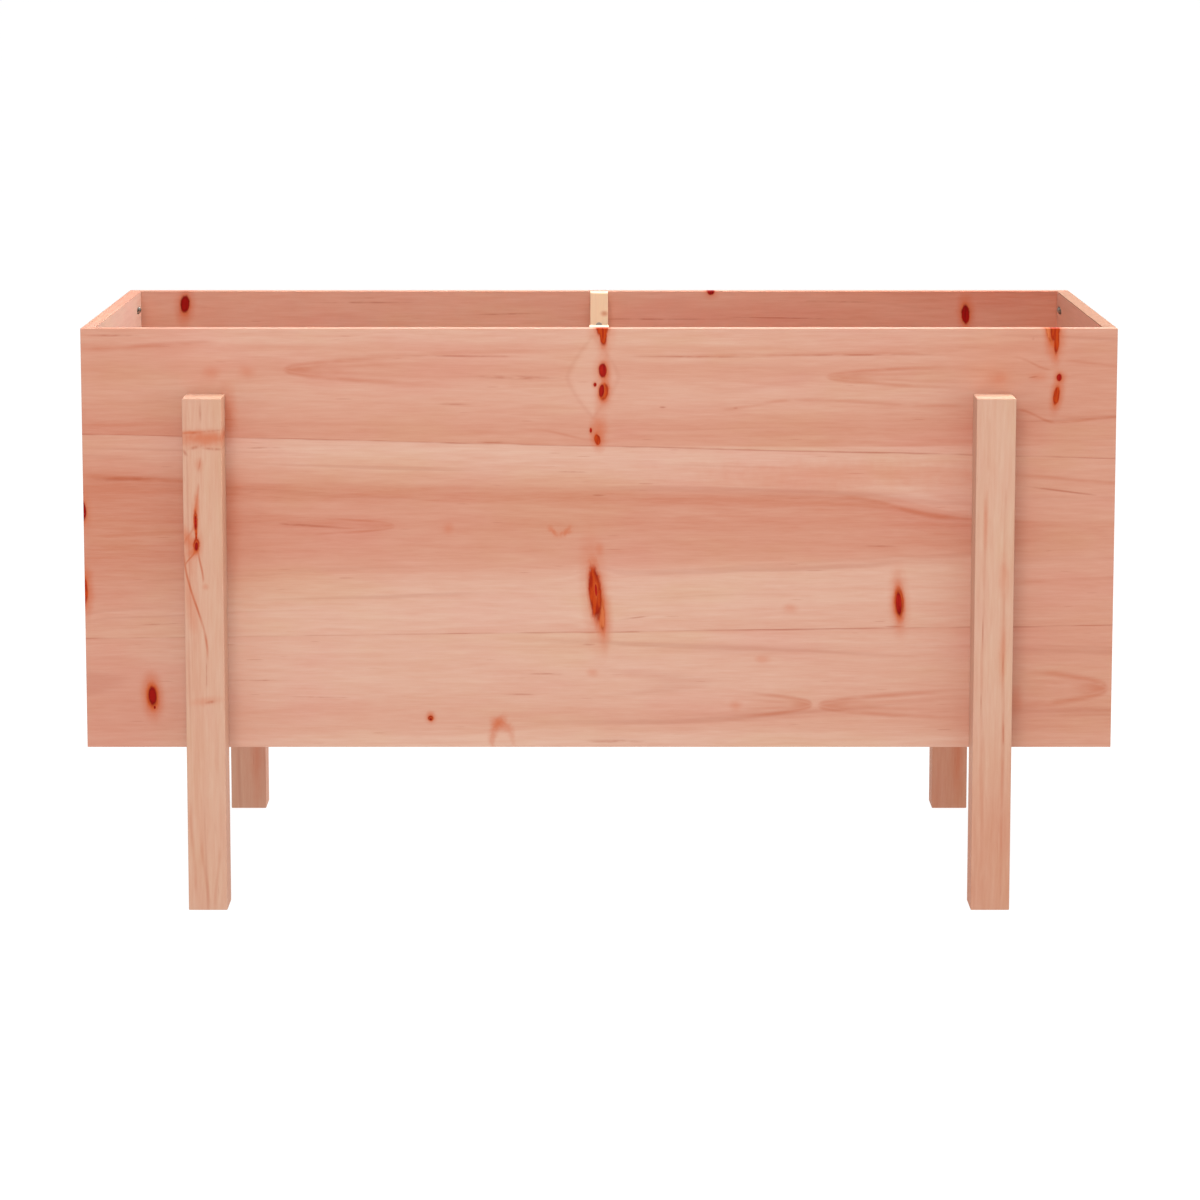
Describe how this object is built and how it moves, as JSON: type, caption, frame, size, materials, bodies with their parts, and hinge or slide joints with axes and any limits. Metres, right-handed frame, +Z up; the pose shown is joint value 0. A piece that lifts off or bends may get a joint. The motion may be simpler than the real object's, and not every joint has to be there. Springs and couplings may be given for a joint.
{
  "type": "raised planter on legs",
  "caption": "Rectangular open-topped wooden planter box with plain panel walls, raised on square legs that stand outside its long walls, with a slatted floor.",
  "frame": {"origin": "on the ground, under the middle of the planter", "axes": "+X along the length, +Z up, the front panel faces -Y"},
  "size_m": [1.01, 0.5, 0.57],
  "materials": {
    "panel_wood": "planed and untreated, reddish softwood",
    "leg_wood": "planed and untreated softwood",
    "batten_wood": "planed and untreated, pale softwood",
    "floor_wood": "planed and untreated softwood",
    "screw_steel": "zinc plated, satin"
  },
  "bodies": {
    "root": {"front_panel": "panel_wood", "back_panel": "panel_wood", "left_side_panel": "panel_wood", "right_side_panel": "panel_wood", "front_left_leg": "leg_wood", "front_right_leg": "leg_wood", "back_left_leg": "leg_wood", "back_right_leg": "leg_wood", "front_centre_batten": "batten_wood", "back_centre_batten": "batten_wood", "front_floor_ledger": "floor_wood", "back_floor_ledger": "floor_wood", "floor_slat_1": "floor_wood", "floor_slat_2": "floor_wood", "floor_slat_3": "floor_wood", "floor_slat_4": "floor_wood", "floor_slat_5": "floor_wood", "floor_slat_6": "floor_wood", "floor_slat_7": "floor_wood", "floor_slat_8": "floor_wood", "floor_slat_9": "floor_wood", "front_left_leg_screw_1": "screw_steel", "front_left_leg_screw_2": "screw_steel", "front_left_leg_screw_3": "screw_steel", "front_right_leg_screw_1": "screw_steel", "front_right_leg_screw_2": "screw_steel", "front_right_leg_screw_3": "screw_steel", "back_left_leg_screw_1": "screw_steel", "back_left_leg_screw_2": "screw_steel", "back_left_leg_screw_3": "screw_steel", "back_right_leg_screw_1": "screw_steel", "back_right_leg_screw_2": "screw_steel", "back_right_leg_screw_3": "screw_steel", "front_batten_screw_1": "screw_steel", "front_batten_screw_2": "screw_steel", "front_batten_screw_3": "screw_steel", "back_batten_screw_1": "screw_steel", "back_batten_screw_2": "screw_steel", "back_batten_screw_3": "screw_steel", "front_ledger_screw_1": "screw_steel", "front_ledger_screw_2": "screw_steel", "front_ledger_screw_3": "screw_steel", "front_ledger_screw_4": "screw_steel", "back_ledger_screw_1": "screw_steel", "back_ledger_screw_2": "screw_steel", "back_ledger_screw_3": "screw_steel", "back_ledger_screw_4": "screw_steel", "front_left_pocket_screw_1": "screw_steel", "front_left_pocket_screw_2": "screw_steel", "front_left_pocket_screw_3": "screw_steel", "front_right_pocket_screw_1": "screw_steel", "front_right_pocket_screw_2": "screw_steel", "front_right_pocket_screw_3": "screw_steel", "back_left_pocket_screw_1": "screw_steel", "back_left_pocket_screw_2": "screw_steel", "back_left_pocket_screw_3": "screw_steel", "back_right_pocket_screw_1": "screw_steel", "back_right_pocket_screw_2": "screw_steel", "back_right_pocket_screw_3": "screw_steel"}
  },
  "joints": []
}
